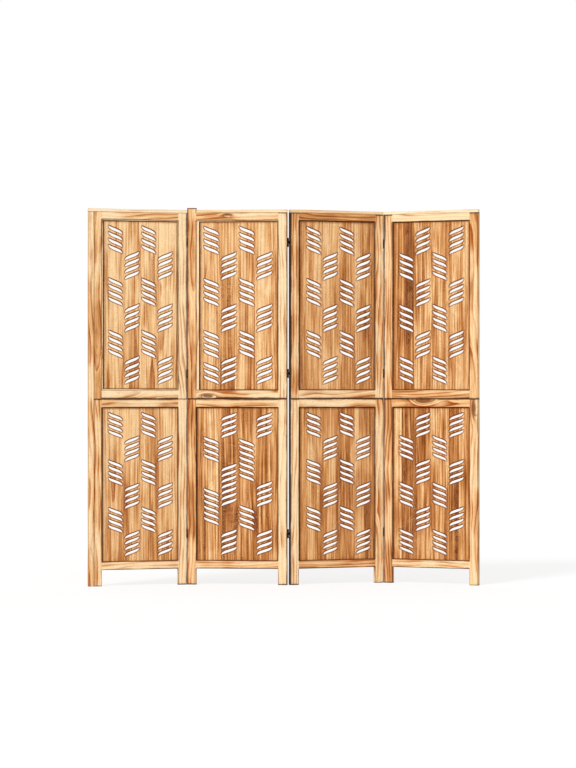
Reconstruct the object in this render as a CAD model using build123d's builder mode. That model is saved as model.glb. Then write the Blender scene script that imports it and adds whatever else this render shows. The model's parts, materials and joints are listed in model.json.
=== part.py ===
from build123d import *
import os

os.makedirs("parts", exist_ok=True)

# A four-panel folding screen: framed, leaf-pierced boards in two storeys, hinged to fold like a concertina.
# Millimetres, +Z up, front towards -Y, origin on the floor under the middle of the screen.

# ---- panels ----
panel_width = 455
panel_height = 1700
thickness = 22
panel_turns = (16, -5, 20, -23)  # each panel's turn from the line of the screen as it stands, degrees

stile_width = 41
leg_length = 73
bottom_rail_height = 36
storey_line = 843  # where the upper frames stand on the lower ones
lower_top_rail_height = 38
upper_bottom_rail_height = 40
top_rail_height = 34
cap_height = 14
edge_strip_width = 25  # full-height strip on the free edge of the first panel
narrow_stile_width = 35  # the stile beside that strip
horn_panel = 1  # the left stile of this panel runs up past the end of its cap
horn_height = 9  # and stands this much above it

# ---- joinery ----
groove_depth = 8
groove_width = 8
fit = 0.1  # clearance of a board, tenon or slip on each side
board_thickness = groove_width - 2 * fit
board_edge = groove_depth - 5 * fit  # how far a board reaches into its grooves
shoulder = 8  # from a rail's outer edge to its stub tenon
slip_width, slip_thickness, slip_length = 16, 6, 60  # loose tenon between storeys, half in each stile
slip_inset = 8  # from the stile's outer edge

# ---- stop beads in front of a board, where it has them: widths along the sides of its opening ----
bead_thickness = 3.5
bead_widths = {
    (0, "upper"): {"left": 6, "right": 2.5, "bottom": 4.5, "top": 4.5},
    (1, "upper"): {"left": 12.5, "top": 4.5},
}

# ---- leaf slots: across the panel as shares of the width of their opening, up it as shares of its height ----
falling_width = 0.18
rising_width = 0.184
column_inset = 0.175  # from the stile to the middle of the nearest column
column_shifts = (0.008, 0.007, 0.025, 0)  # per panel, how far its columns sit to the right of the middle
leaf_drop = 0.05  # from tip to tip
leaf_spacing = 0.0375  # from one leaf of a cluster to the next
cluster_pitch = 0.307  # from one cluster of a column to the next
cluster_lift = 0.076  # a high column sits this much above the middle, a low one this much below
cluster_leaves = 4
first_knee = (0.66, 0.455)  # along the upper edge, as shares of the leaf's width and drop
second_knee = (0.93, 0.73)

# ---- butt hinges, their leaves and knuckles let into the stiles' edges ----
joint_gaps = (0.6, 5.7, 0.6)
pins_in_front = (True, False, True)  # per joint; the faces on the pin's side fold together
pin_stand_off = 0.5  # pin axis in front of those faces
hinge_heights = (232, 958, 1552)  # middle of each hinge above the floor
hinge_length = 40
plate_thickness = 1.5
plate_start = 4.2  # from the pin axis, clear of the knuckles
plate_depth = 14
pin_radius = 2
pin_clearance = 0.05
knuckle_radius = pin_radius + plate_thickness
knuckle_room = 4  # from the pin axis to the walls of the pockets round a knuckle
flats = 8  # of knuckles and pins
knuckle_gap = 0.3


def lay_out():
    """The front plane of each panel, x across it and y up, and a point on the pin axis of each joint."""
    fronts, pins = [], []
    corner = Vector(0, 0, 0)
    for number, turn in enumerate(panel_turns):
        along = Vector(1, 0, 0).rotate(Axis.Z, turn)
        outward = Vector(0, -1, 0).rotate(Axis.Z, turn)
        if pins:
            corner = pins[-1] + along * (joint_gaps[number - 1] / 2) - outward * reach
        fronts.append(Plane(corner, x_dir=along, z_dir=outward))
        if number < len(pins_in_front):
            reach = pin_stand_off if pins_in_front[number] else -thickness - pin_stand_off
            pins.append(corner + along * (panel_width + joint_gaps[number] / 2) + outward * reach)
    corners = [
        front.from_local_coords(Vector(across, 0, -depth))
        for front in fronts
        for across in (0, panel_width)
        for depth in (0, thickness)
    ]
    xs = [corner.X for corner in corners]
    ys = [corner.Y for corner in corners]
    middle = Vector((min(xs) + max(xs)) / 2, (min(ys) + max(ys)) / 2, 0)
    centred = [Plane(front.origin - middle, x_dir=front.x_dir, z_dir=front.z_dir) for front in fronts]
    return centred, [pin - middle for pin in pins]


fronts, pins = lay_out()

# ---- heights of the frame members, from the floor ----
cap_underside = panel_height - cap_height
frames = {
    "lower": {
        "stile": (0, storey_line),
        "bottom_rail": (leg_length, leg_length + bottom_rail_height),
        "top_rail": (storey_line - lower_top_rail_height, storey_line),
    },
    "upper": {
        "stile": (storey_line, cap_underside),
        "bottom_rail": (storey_line, storey_line + upper_bottom_rail_height),
        "top_rail": (cap_underside - top_rail_height, cap_underside),
    },
}


def opening_height(storey):
    """The two heights between which a storey's board shows."""
    return frames[storey]["bottom_rail"][1], frames[storey]["top_rail"][0]


def opening_across(number):
    """The two places across a panel between which its boards show."""
    left = edge_strip_width + narrow_stile_width if number == 0 else stile_width
    return left, panel_width - stile_width


def grown(span, amount):
    return span[0] - amount, span[1] + amount


def bar(number, across, height, depth=(0, thickness), mode=Mode.ADD):
    """A square-edged bar across a panel, or the hollow it leaves; depth counts back from the front face."""
    with BuildSketch(fronts[number].offset(-depth[0])) as face:
        with Locations((sum(across) / 2, sum(height) / 2)):
            Rectangle(across[1] - across[0], height[1] - height[0])
    extrude(face.sketch, amount=depth[0] - depth[1], mode=mode)


def centred_depth(width):
    return (thickness - width) / 2, (thickness + width) / 2


def slip_across(number, side):
    """Where the loose tenon of a stile sits across its panel."""
    if side == "right":
        return panel_width - slip_inset - slip_width, panel_width - slip_inset
    outer_edge = edge_strip_width if number == 0 else 0
    return outer_edge + slip_inset, outer_edge + slip_inset + slip_width


slip_height = (storey_line - slip_length / 2, storey_line + slip_length / 2)


def hinge_pockets(number, side, stile_height):
    """Where hinges are let into the outer edge of a stile, as spans across, up and back."""
    joint = number if side == "right" else number - 1
    if joint not in range(len(pins_in_front)):
        return []
    cuts = (
        (plate_thickness, plate_start + plate_depth + fit - pin_stand_off),
        (knuckle_room - joint_gaps[joint] / 2, knuckle_room - pin_stand_off),
    )
    pockets = []
    for height in hinge_heights:
        if stile_height[0] < height < stile_height[1]:
            for in_from_edge, back_from_face in cuts:
                across = (panel_width - in_from_edge, panel_width) if side == "right" else (0, in_from_edge)
                depth = (0, back_from_face) if pins_in_front[joint] else (thickness - back_from_face, thickness)
                pockets.append((across, grown((height - hinge_length / 2, height + hinge_length / 2), fit), depth))
    return pockets


def save(builder, name):
    builder.part.label = name
    export_step(builder.part, f"parts/{name}.step")


def make_stile(number, storey, side):
    """An upright with a stopped groove for board and tenons, a socket for its slip and pockets for hinges."""
    left_edge, right_edge = opening_across(number)
    heights = frames[storey]
    stile_top = heights["stile"][1]
    if side == "left":
        across = (edge_strip_width if number == 0 else 0, left_edge)
        groove = (left_edge - groove_depth, left_edge)
        if number == horn_panel and storey == "upper":
            stile_top = panel_height + horn_height
    else:
        across = (right_edge, panel_width)
        groove = (right_edge, right_edge + groove_depth)
    groove_height = (heights["bottom_rail"][0] + shoulder, heights["top_rail"][1] - shoulder)
    with BuildPart() as stile:
        bar(number, across, (heights["stile"][0], stile_top))
        bar(number, groove, groove_height, centred_depth(groove_width), Mode.SUBTRACT)
        bar(
            number,
            grown(slip_across(number, side), fit),
            grown(slip_height, fit),
            centred_depth(slip_thickness + 2 * fit),
            Mode.SUBTRACT,
        )
        for pocket in hinge_pockets(number, side, heights["stile"]):
            bar(number, *pocket, Mode.SUBTRACT)
    save(stile, f"panel_{number + 1}_{storey}_{side}_stile")


def make_rail(number, storey, place):
    """A crosspiece with a groove along the board's side and a stub tenon at each end."""
    across = opening_across(number)
    low, high = frames[storey][place]
    if place == "bottom_rail":
        groove = (high - groove_depth, high)
        tenon = (low + shoulder + fit, high - groove_depth)
    else:
        groove = (low, low + groove_depth)
        tenon = (low + groove_depth, high - shoulder - fit)
    with BuildPart() as rail:
        bar(number, across, (low, high))
        bar(number, grown(across, groove_depth - fit), tenon, centred_depth(groove_width - 2 * fit))
        bar(number, across, groove, centred_depth(groove_width), Mode.SUBTRACT)
    save(rail, f"panel_{number + 1}_{storey}_{place}")


def leaf_outline(width, drop):
    """One leaf slot that falls to the right: a pointed blade, the same turned half round."""
    tip = Vector(-width / 2, drop / 2)
    knees = [Vector(tip.X + across * width, tip.Y - down * drop) for across, down in (first_knee, second_knee)]
    upper_edge = [tip, *knees]
    lower_edge = [point * -1 for point in upper_edge]
    with BuildSketch() as leaf:
        with BuildLine():
            Polyline(*upper_edge, *lower_edge, close=True)
        make_face()
    return leaf.sketch


# ---- which clusters each column of a board has, as (middle of the cluster, number of leaves) ----
def column_of_clusters(middle):
    return [(middle + row * cluster_pitch, cluster_leaves) for row in (1, 0, -1)]


high_column = column_of_clusters(0.5 + cluster_lift)
low_column = column_of_clusters(0.5 - cluster_lift)
falling_high = [high_column, low_column] * 2
falling_low = [low_column, high_column] * 2
boards = {
    (0, "upper"): falling_high,
    (0, "lower"): falling_high,
    (1, "upper"): [high_column + [(0.098, 3)], low_column, high_column, low_column],
    (1, "lower"): [
        [(0.724, 4), (0.351, 6)],
        [(0.881, 4), (0.494, 7), (0.121, 4)],
        [(0.655, 7), (0.279, 4)],
        [(0.881, 4), (0.434, 4), (0.121, 4)],
    ],
    (2, "upper"): falling_high,
    (2, "lower"): falling_high,
    (3, "upper"): falling_low,
    (3, "lower"): falling_low,
}


def make_board(number, storey):
    """A board let into the grooves, pierced by four columns of leaves that fall and rise by turns."""
    left_edge, right_edge = opening_across(number)
    bottom, top = opening_height(storey)
    height = top - bottom
    width = right_edge - left_edge
    columns = boards[number, storey]
    first_column = left_edge + (column_inset + column_shifts[number]) * width
    column_pitch = (1 - 2 * column_inset) * width / (len(columns) - 1)
    falling = leaf_outline(falling_width * width, leaf_drop * height)
    rising = mirror(leaf_outline(rising_width * width, leaf_drop * height), Plane.YZ)
    depth = centred_depth(board_thickness)
    with BuildPart() as board:
        bar(number, grown((left_edge, right_edge), board_edge), grown((bottom, top), board_edge), depth)
        with BuildSketch(fronts[number].offset(-depth[0])):
            for place, clusters in enumerate(columns):
                centres = [
                    (
                        first_column + place * column_pitch,
                        bottom + (middle + (leaf - (leaves - 1) / 2) * leaf_spacing) * height,
                    )
                    for middle, leaves in clusters
                    for leaf in range(leaves)
                ]
                with Locations(*centres):
                    add(falling if place % 2 == 0 else rising)
        extrude(amount=depth[0] - depth[1], mode=Mode.SUBTRACT)
    save(board, f"panel_{number + 1}_{storey}_board")


def make_beads(number, storey, widths):
    """Thin strips that lie on the board along the sides of its opening."""
    left_edge, right_edge = opening_across(number)
    bottom, top = opening_height(storey)
    board_face = centred_depth(board_thickness)[0]
    depth = (board_face - bead_thickness, board_face)
    between = (left_edge + widths["left"] + fit, right_edge - widths.get("right", 0) - fit)
    strips = {
        "left": lambda width: ((left_edge, left_edge + width), (bottom, top)),
        "right": lambda width: ((right_edge - width, right_edge), (bottom, top)),
        "bottom": lambda width: (between, (bottom, bottom + width)),
        "top": lambda width: (between, (top - width, top)),
    }
    with BuildPart() as beads:
        for side, width in widths.items():
            bar(number, *strips[side](width), depth)
    save(beads, f"panel_{number + 1}_{storey}_stop_beads")


def make_cap(number):
    """The strip that closes the top of a panel; beside the horned stile it stops short."""
    start = stile_width if number == horn_panel else 0
    with BuildPart() as cap:
        bar(number, (start, panel_width), (cap_underside, panel_height))
    save(cap, f"panel_{number + 1}_top_cap")


def make_slips(number):
    with BuildPart() as slips:
        for side in ("left", "right"):
            bar(number, slip_across(number, side), slip_height, centred_depth(slip_thickness))
    save(slips, f"panel_{number + 1}_storey_slips")


def make_edge_strip():
    with BuildPart() as strip:
        bar(0, (0, edge_strip_width), (0, cap_underside))
    save(strip, "panel_1_edge_strip")


# ---- hinges: heights along the pin, from a hinge's lower end ----
middle_knuckle = hinge_length / 3
knuckle_spans = (
    (0, middle_knuckle - knuckle_gap / 2),
    (middle_knuckle + knuckle_gap / 2, 2 * middle_knuckle - knuckle_gap / 2),
    (2 * middle_knuckle + knuckle_gap / 2, hinge_length),
)


def knuckle(level, span, plate_middle, back):
    """A knuckle folded round the pin in eight flats, and the neck that joins it to the plate."""
    with BuildSketch(level.offset(span[0])) as section:
        RegularPolygon(knuckle_radius, flats, major_radius=False)
        with Locations((plate_middle, back * plate_start / 2)):
            Rectangle(plate_thickness, plate_start)
    extrude(section.sketch, amount=span[1] - span[0])


def make_leaves(joint, side):
    """The hinge leaves on one side of a joint; those on the left carry the outer knuckles and the pin."""
    number = joint if side == "right" else joint + 1
    across = -1 if side == "right" else 1  # the stile lies this way from the pin
    back = 1 if pins_in_front[joint] else -1  # and this way its faces
    plate_middle = across * (joint_gaps[joint] + plate_thickness) / 2
    with BuildPart() as leaves:
        for height in hinge_heights:
            foot = pins[joint] + Vector(0, 0, height - hinge_length / 2)
            level = Plane(foot, x_dir=fronts[number].x_dir, z_dir=(0, 0, 1))
            with BuildSketch(level):
                with Locations((plate_middle, back * (plate_start + plate_depth / 2))):
                    Rectangle(plate_thickness, plate_depth)
            extrude(amount=hinge_length)
            if side == "right":
                knuckle(level, knuckle_spans[0], plate_middle, back)
                knuckle(level, knuckle_spans[2], plate_middle, back)
                with BuildSketch(level):
                    RegularPolygon(pin_radius, flats)
                extrude(amount=hinge_length)
            else:
                knuckle(level, knuckle_spans[1], plate_middle, back)
                with BuildSketch(level):
                    RegularPolygon(pin_radius + pin_clearance, flats, major_radius=False)
                extrude(amount=hinge_length, mode=Mode.SUBTRACT)
    save(leaves, f"panel_{number + 1}_{side}_hinge_leaves")


for number in range(len(panel_turns)):
    for storey in frames:
        for side in ("left", "right"):
            make_stile(number, storey, side)
        for place in ("bottom_rail", "top_rail"):
            make_rail(number, storey, place)
        make_board(number, storey)
        if (number, storey) in bead_widths:
            make_beads(number, storey, bead_widths[number, storey])
    make_cap(number)
    make_slips(number)
make_edge_strip()
for joint in range(len(pins_in_front)):
    for side in ("right", "left"):
        make_leaves(joint, side)
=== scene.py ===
import json
import math
import random
from functools import partialmethod

import bmesh
import bpy
from mathutils import Matrix, Vector

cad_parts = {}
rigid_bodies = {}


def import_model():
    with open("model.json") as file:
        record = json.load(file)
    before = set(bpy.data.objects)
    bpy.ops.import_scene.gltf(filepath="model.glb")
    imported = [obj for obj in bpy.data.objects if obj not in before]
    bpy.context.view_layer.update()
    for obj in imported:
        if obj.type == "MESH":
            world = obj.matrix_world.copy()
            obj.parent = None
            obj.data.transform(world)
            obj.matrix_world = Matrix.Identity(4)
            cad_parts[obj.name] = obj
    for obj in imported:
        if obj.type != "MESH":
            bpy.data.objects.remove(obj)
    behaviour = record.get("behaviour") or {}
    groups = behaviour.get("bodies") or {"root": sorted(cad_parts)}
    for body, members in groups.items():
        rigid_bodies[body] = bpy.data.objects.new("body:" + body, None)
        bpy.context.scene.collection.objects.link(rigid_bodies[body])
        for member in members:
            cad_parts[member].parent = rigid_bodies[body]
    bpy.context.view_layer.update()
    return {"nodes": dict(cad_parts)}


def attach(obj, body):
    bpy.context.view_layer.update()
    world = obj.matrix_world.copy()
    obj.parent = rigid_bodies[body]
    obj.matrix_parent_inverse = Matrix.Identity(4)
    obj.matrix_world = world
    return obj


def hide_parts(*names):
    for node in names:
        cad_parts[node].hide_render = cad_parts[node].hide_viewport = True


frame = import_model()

# A four-panel folding screen of torched wood with leaf-pierced boards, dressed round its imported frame.
# Metres throughout. A panel's own directions are x across it, y back from its face and z up.

mm = 0.001
panels = (1, 2, 3, 4)
storeys = ("lower", "upper")
sides = ("left", "right")


class Wire:
    # one output socket; arithmetic on it adds Math nodes
    def __init__(self, tree, socket):
        self.tree = tree
        self.socket = socket

    def mathNode(self, operation, *others):
        values = dict(enumerate((self, *others)))
        return self.tree.add("ShaderNodeMath", {"operation": operation}, values)

    def reflected(self, operation, other):
        return self.tree.add("ShaderNodeMath", {"operation": operation}, {0: other, 1: self})

    __add__, __radd__ = partialmethod(mathNode, "ADD"), partialmethod(reflected, "ADD")
    __sub__, __rsub__ = partialmethod(mathNode, "SUBTRACT"), partialmethod(reflected, "SUBTRACT")
    __mul__, __rmul__ = partialmethod(mathNode, "MULTIPLY"), partialmethod(reflected, "MULTIPLY")
    __truediv__, __rtruediv__ = partialmethod(mathNode, "DIVIDE"), partialmethod(reflected, "DIVIDE")
    least, most = partialmethod(mathNode, "MINIMUM"), partialmethod(mathNode, "MAXIMUM")
    size, root = partialmethod(mathNode, "ABSOLUTE"), partialmethod(mathNode, "SQRT")
    whole, part = partialmethod(mathNode, "FLOOR"), partialmethod(mathNode, "FRACT")

    def clamped(self):
        return self.most(0.0).least(1.0)

    def other(self, name):
        return Wire(self.tree, self.socket.node.outputs[name])


class Tree:
    # one method adds any node: its type, its settings, then its sockets' values or links
    def __init__(self, nodeTree):
        self.nodeTree = nodeTree

    def add(self, kind, settings=None, sockets=None, out=0):
        node = self.nodeTree.nodes.new(kind)
        for name, value in (settings or {}).items():
            if name == "stops":
                fillRamp(node.color_ramp, value)
            else:
                setattr(node, name, value)
        for key, value in (sockets or {}).items():
            for single in value if isinstance(value, list) else [value]:
                if isinstance(single, Wire):
                    self.nodeTree.links.new(single.socket, node.inputs[key])
                else:
                    node.inputs[key].default_value = single
        return Wire(self, node.outputs[out]) if len(node.outputs) else None

    def vector(self, operation, *values):
        return self.add("ShaderNodeVectorMath", {"operation": operation}, dict(enumerate(values)))

    def scaled(self, vector, factor):
        return self.add("ShaderNodeVectorMath", {"operation": "SCALE"}, {0: vector, "Scale": factor})

    def parts(self, vector):
        first = self.add("ShaderNodeSeparateXYZ", None, {0: vector})
        return first, first.other("Y"), first.other("Z")

    def joined(self, x=0.0, y=0.0, z=0.0):
        return self.add("ShaderNodeCombineXYZ", None, {0: x, 1: y, 2: z})

    def attribute(self, name, out="Vector"):
        return self.add("ShaderNodeAttribute", {"attribute_name": name}, None, out)

    def noise(self, point, detail=2.0, roughness=0.5):
        sockets = {"Vector": point, "Scale": 1.0, "Detail": detail, "Roughness": roughness}
        return self.add("ShaderNodeTexNoise", None, sockets)

    def ease(self, value, start, end):
        # 0 at start, 1 at end, smooth between
        sockets = {"Value": value, "From Min": start, "From Max": end}
        return self.add("ShaderNodeMapRange", {"interpolation_type": "SMOOTHSTEP"}, sockets)

    def fade(self, value, start, end):
        # 1 at start, 0 at end
        return 1.0 - self.ease(value, start, end)

    def blend(self, factor, under, code, mode="MIX"):
        settings = {"data_type": "RGBA", "blend_type": mode}
        return self.add("ShaderNodeMix", settings, {0: factor, 6: under, 7: paint(code)}, 2)

    def ramp(self, value, tones):
        stops = [(at, paint(code)) for at, code in tones]
        return self.add("ShaderNodeValToRGB", {"stops": stops}, {0: value})


def fillRamp(ramp, stops):
    while len(ramp.elements) < len(stops):
        ramp.elements.new(1.0)
    for element, (position, colour) in zip(ramp.elements, stops):
        element.position = position
        element.color = colour


def paint(code):
    # a colour as it looks on the surface, from its six hexadecimal digits
    channels = [int(code[i:i + 2], 16) / 255 for i in (0, 2, 4)]
    return (*[c / 12.92 if c <= 0.04045 else ((c + 0.055) / 1.055) ** 2.4 for c in channels], 1.0)


class Shader(Tree):
    def __init__(self, name):
        self.material = bpy.data.materials.new(name)
        self.material.use_nodes = True
        super().__init__(self.material.node_tree)
        self.nodeTree.nodes.clear()

    def finish(self, surface):
        self.add("ShaderNodeOutputMaterial", None, {"Surface": surface})
        return self.material

    def finishSolid(self, look, height, sockets):
        strength, depth = look["bump"]
        bump = self.add("ShaderNodeBump", None, {"Height": height, "Strength": strength, "Distance": depth})
        return self.finish(self.add("ShaderNodeBsdfPrincipled", None, {**sockets, "Normal": bump}))


class Grower(Tree):
    # a geometry tree with named inputs
    kinds = {"size": "NodeSocketFloat", "place": "NodeSocketVector", "number": "NodeSocketInt",
             "material": "NodeSocketMaterial"}

    def __init__(self, name, inputs):
        self.group = bpy.data.node_groups.new(name, "GeometryNodeTree")
        super().__init__(self.group)
        face = self.group.interface
        face.new_socket("Geometry", in_out="INPUT", socket_type="NodeSocketGeometry")
        self.ids = {}
        for label, kind in inputs.items():
            self.ids[label] = face.new_socket(label, in_out="INPUT", socket_type=self.kinds[kind]).identifier
        face.new_socket("Geometry", in_out="OUTPUT", socket_type="NodeSocketGeometry")
        self.entry = self.add("NodeGroupInput")

    def given(self, label):
        return self.entry.other(label)

    def stored(self, geometry, label, value, kind="FLOAT"):
        return self.add("GeometryNodeStoreNamedAttribute", {"data_type": kind, "domain": "POINT"}, {
            "Geometry": geometry, "Name": label, "Value": value})

    def together(self, *pieces):
        return self.add("GeometryNodeJoinGeometry", None, {0: list(pieces)})

    def welded(self, geometry, distance):
        return self.add("GeometryNodeMergeByDistance", None, {"Geometry": geometry, "Distance": distance})

    def named(self, label):
        return self.add("GeometryNodeInputNamedAttribute", {"data_type": "FLOAT_VECTOR"}, {"Name": label})

    def finish(self, geometry, material):
        solid = self.add("GeometryNodeRealizeInstances", None, {0: geometry})
        coloured = self.add("GeometryNodeSetMaterial", None, {"Geometry": solid, "Material": material})
        self.add("NodeGroupOutput", None, {0: coloured})


screen = {
    "turns": (16, -5, 20, -23),  # each panel's turn from the line of the screen, degrees
    "seed": 7,
    "nodeWeld": 0.01 * mm,
    "flatWithin": 1,  # degrees between two faces that are joined to one
    "arrisFrom": 0.7,  # radians between two faces, past which their edge is an arris
    "arrisRoundness": 0.6,
}
dice = random.Random(screen["seed"])


def span(points):
    # lowest and highest corners
    low, high = [Vector([pick(point[axis] for point in points) for axis in range(3)]) for pick in (min, max)]
    return low, high


def panelMatrix(number):
    # from a panel's own directions, with its corner at the front, left and floor, to the row frame
    turned = Matrix.Rotation(math.radians(screen["turns"][number - 1]), 4, "Z")
    back = turned.inverted()
    points = [
        back @ vertex.co
        for name, node in frame["nodes"].items()
        if name.startswith(f"panel_{number}_") and "hinge" not in name
        for vertex in node.data.vertices
    ]
    return turned @ Matrix.Translation(span(points)[0])


panelPlaces = {number: panelMatrix(number) for number in panels}


def localCopy(name, number):
    # a node's mesh, whole again and in its panel's own directions
    copy = bmesh.new()
    copy.from_mesh(frame["nodes"][name].data)
    bmesh.ops.transform(copy, matrix=panelPlaces[number].inverted(), verts=copy.verts)
    bmesh.ops.remove_doubles(copy, verts=copy.verts, dist=screen["nodeWeld"])
    bmesh.ops.dissolve_limit(copy, angle_limit=math.radians(screen["flatWithin"]),
                             verts=copy.verts, edges=copy.edges)
    return copy


def localBox(name, number):
    back = panelPlaces[number].inverted()
    return span([back @ vertex.co for vertex in frame["nodes"][name].data.vertices])


def easeArrises(work, width, segments=2):
    sharp = [edge for edge in work.edges
             if len(edge.link_faces) == 2 and edge.calc_face_angle() > screen["arrisFrom"]]
    bmesh.ops.bevel(work, geom=sharp, offset=width, offset_type="OFFSET", segments=segments,
                    profile=screen["arrisRoundness"], affect="EDGES", clamp_overlap=True)


def linkedGroups(neighbours):
    # the groups that hang together, from each vertex's list of neighbours
    groups, seen = [], set()
    for start in neighbours:
        if start in seen:
            continue
        group, waiting = [], [start]
        while waiting:
            vertex = waiting.pop()
            if vertex in seen:
                continue
            seen.add(vertex)
            group.append(vertex)
            waiting.extend(neighbours[vertex])
        groups.append(group)
    return groups


def giveVectors(mesh, label, values):
    attribute = mesh.attributes.new(label, "FLOAT_VECTOR", "POINT")
    attribute.data.foreach_set("vector", [number for value in values for number in value])


def giveNumbers(mesh, label, values, domain="POINT"):
    attribute = mesh.attributes.new(label, "FLOAT", domain)
    attribute.data.foreach_set("value", list(values))


def meshFrom(work, name):
    # a plain mesh from edit data, which it frees
    mesh = bpy.data.meshes.new(name)
    work.to_mesh(mesh)
    work.free()
    return mesh


def pointMesh(name, spots):
    mesh = bpy.data.meshes.new(name)
    mesh.from_pydata(spots, [], [])
    return mesh


def addObject(name, data):
    thing = bpy.data.objects.new(name, data)
    bpy.context.scene.collection.objects.link(thing)
    return thing


def placePiece(name, mesh, number, material, replaced=()):
    # a finished mesh in its panel's directions becomes a piece that rides on the panel
    mesh.transform(panelPlaces[number])
    piece = addObject(name, mesh)
    if material is not None:
        mesh.materials.clear()
        mesh.materials.append(material)
    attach(piece, f"panel_{number}")
    if replaced:
        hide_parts(*replaced)


def grown(name, tree, base, values):
    # runs a geometry tree on a base mesh and keeps the result as a plain mesh
    holder = addObject(name, base)
    modifier = holder.modifiers.new("Grown", "NODES")
    modifier.node_group = tree.group
    for label, value in values.items():
        modifier[tree.ids[label]] = value
    bpy.context.view_layer.update()
    graph = bpy.context.evaluated_depsgraph_get()
    mesh = bpy.data.meshes.new_from_object(
        holder.evaluated_get(graph), preserve_all_data_layers=True, depsgraph=graph)
    holder.modifiers.remove(modifier)
    bpy.data.objects.remove(holder)
    mesh.name = name
    return mesh


# what a wood needs: its tones from palest to darkest, then its rings, streaks, burns and painted shade
frameLook = {
    "tones": ((0.0, "FFE4B6"), (0.3, "F9CD94"), (0.6, "DCA568"), (1.0, "A06331")),
    "late": "BA7C49",  # what the dark side of each growth ring multiplies by
    "charAndShadeColour": "33160A",  # char on the arrises, and painted shade in gaps, recesses and under the rails
    "toast": "98501E",  # the scorch that fades in from an arris
    "knot": "7C4620",
    "knotStrength": 0.9,
    "knotBulge": 18 * mm,  # how far the rings are pushed out round a knot
    "knotLength": 0.3,  # share of a knot's distance that counts along the grain
    "knotRings": 0.25,
    "ringWidth": 15 * mm,
    "lateStrength": 0.85,
    "paleRings": 0.25,  # what's left of the rings where the wood is pale
    "fineRings": 2.7,  # fine rings to each wide one
    "fineStrength": 0.35,
    "warp": 34 * mm,  # slow waves of the rings
    "swirl": 4 * mm,  # quick waves of the rings
    "taper": 0.035,
    "pithSpread": 90 * mm,  # how far to either side of the piece its pith may lie
    "pithDepth": 30 * mm,  # how far behind it the pith lies at least
    "pithRange": 20 * mm,
    "streaks": 0.22,
    "streakWidth": 14 * mm,
    "threads": 0.5,  # strength of the threads in the streaks, as a share of theirs
    "patches": 0.45,
    "fibreStrength": 0.45,
    "fibreFrom": 0.35,
    "poreStrength": 0.5,
    "burnWidth": 2.2 * mm,
    "burnRagged": (0.8, 0.5, 0.35),  # share of that width from fine noise, from slow noise and everywhere
    "charAndShadeStrength": 0.92,
    "toastWidth": 6.5 * mm,
    "toastPatches": 0.7,
    "toastStrength": 0.3,
    "jointClear": 0.1,  # how far off a burn is put where a rail meets a stile's edge
    "staveWidth": 0,  # 0 for stock that isn't glued up
    "bump": (0.35, 0.4 * mm),  # strength and height
    "relief": (0.5, 0.5, 0.6),  # of dark rings, fibres and burns
    "roughness": (0.55, 0.08, 0.18, 0.15),  # everywhere, and more on dark rings, fibres and burns
    "gloss": 0.08,
}
boardLook = {
    **frameLook,
    "tones": ((0.0, "FFDEA9"), (0.28, "F1BD7E"), (0.55, "D09252"), (0.8, "A4632F"), (1.0, "703C1A")),
    "late": "B0723F",
    "ringWidth": 10 * mm,
    "lateStrength": 0.7,
    "warp": 16 * mm,
    "swirl": 1.6 * mm,
    "taper": 0.02,
    "pithSpread": 60 * mm,
    "streaks": 0.5,
    "streakWidth": 11 * mm,
    "patches": 0.35,
    "staveWidth": 46 * mm,
    "staveTones": 0.5,  # how much the staves of a board differ
    "staveShifts": (40.0, 91.0, 57.0),  # set the staves of two boards apart
    "glueStrength": 0.6,
    "toastStrength": 0.5,
    "seatWidth": 5.2 * mm,  # painted shade, with some char: the dark line where a board runs in behind its frame
    "seatRagged": 0.6,
    "seatReach": (0.5, 0.9),  # of that painted shade at the bottom and the top of an opening
    # char round a slot, darker above it as painted shade
    "rim": "522608",
    "rimStrength": 0.92,
    "rimRagged": 0.1,
    "haloPatches": 0.3,
    "rimWidth": (0.25, 0.95),  # the dark rim under and above a slot, char with painted shade that widens it above, as shares of the halo round it
    "rimUnder": 0.2,  # strength of the rim under a slot, as a share of the one above, which is darker with painted shade
    "cut": "F2BC7C",  # a slot's own sides
    "cutStrength": 0.8,
    "ribShade": "C2B09C",  # painted shade: what the thin ribs between slots multiply by
}
# the cap along each panel's top: pale wood, painted paler still as a highlight for the light its top edge
# catches
capLook = {
    **frameLook,
    "tones": ((0.0, "FFEAC4"), (0.5, "F4D19E"), (1.0, "DDA96E")),
    "lateStrength": 0.6,
    "patches": 0.3,
    "burnWidth": 1.6 * mm,
    "toastStrength": 0.12,
}

# noise in the wood, in cells to the metre along and across the grain
cells = {
    "warp": (2.0, 9.0), "swirl": (14.0, 60.0), "patch": (5.0, 16.0), "fibre": (30.0, 1100.0),
    "pore": (110.0, 2600.0), "ragged": (60.0, 60.0), "slowly": (9.0, 9.0),
    "streakAlong": 2.6, "threadAlong": 5.0,
    "threadsAcross": 4.0,  # in the width of a streak
    "shift": 40.0, "ringShift": 60.0,  # how many cells apart two pieces lie
}
# where each mask starts and ends, on its noise, ring or distance
masks = {
    "late": (0.35, 0.9), "lateEnd": (0.93, 1.0), "fine": (0.4, 0.9), "fineEnd": (0.92, 1.0),
    "patch": (0.33, 0.67), "streak": (0.36, 0.64), "thread": (0.36, 0.66), "pore": (0.62, 0.72),
    "glueLine": (0.955, 0.99), "ringsSeen": (0.1, 1.1), "knot": (0.0, 2.2), "knotHeart": (0.35, 0.85),
    "slowly": (0.35, 0.65),
    "upperSide": (-0.3, 0.6), "scorch": (0.7, 1.0), "ribShade": (0.85, 1.0), "cut": (0.02, 0.14),
    "halo": (0.1, 1.0), "seat": (0.4, 1.3), "seatShadeFringe": (0.5, 3.2),
    "arris": (0.3, 1.1), "sootAndShade": (0.05 * mm, 0.3 * mm), "sootAndShadeReach": (1.3, 2.0), "toast": (0.0, 1.0),
}


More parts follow.
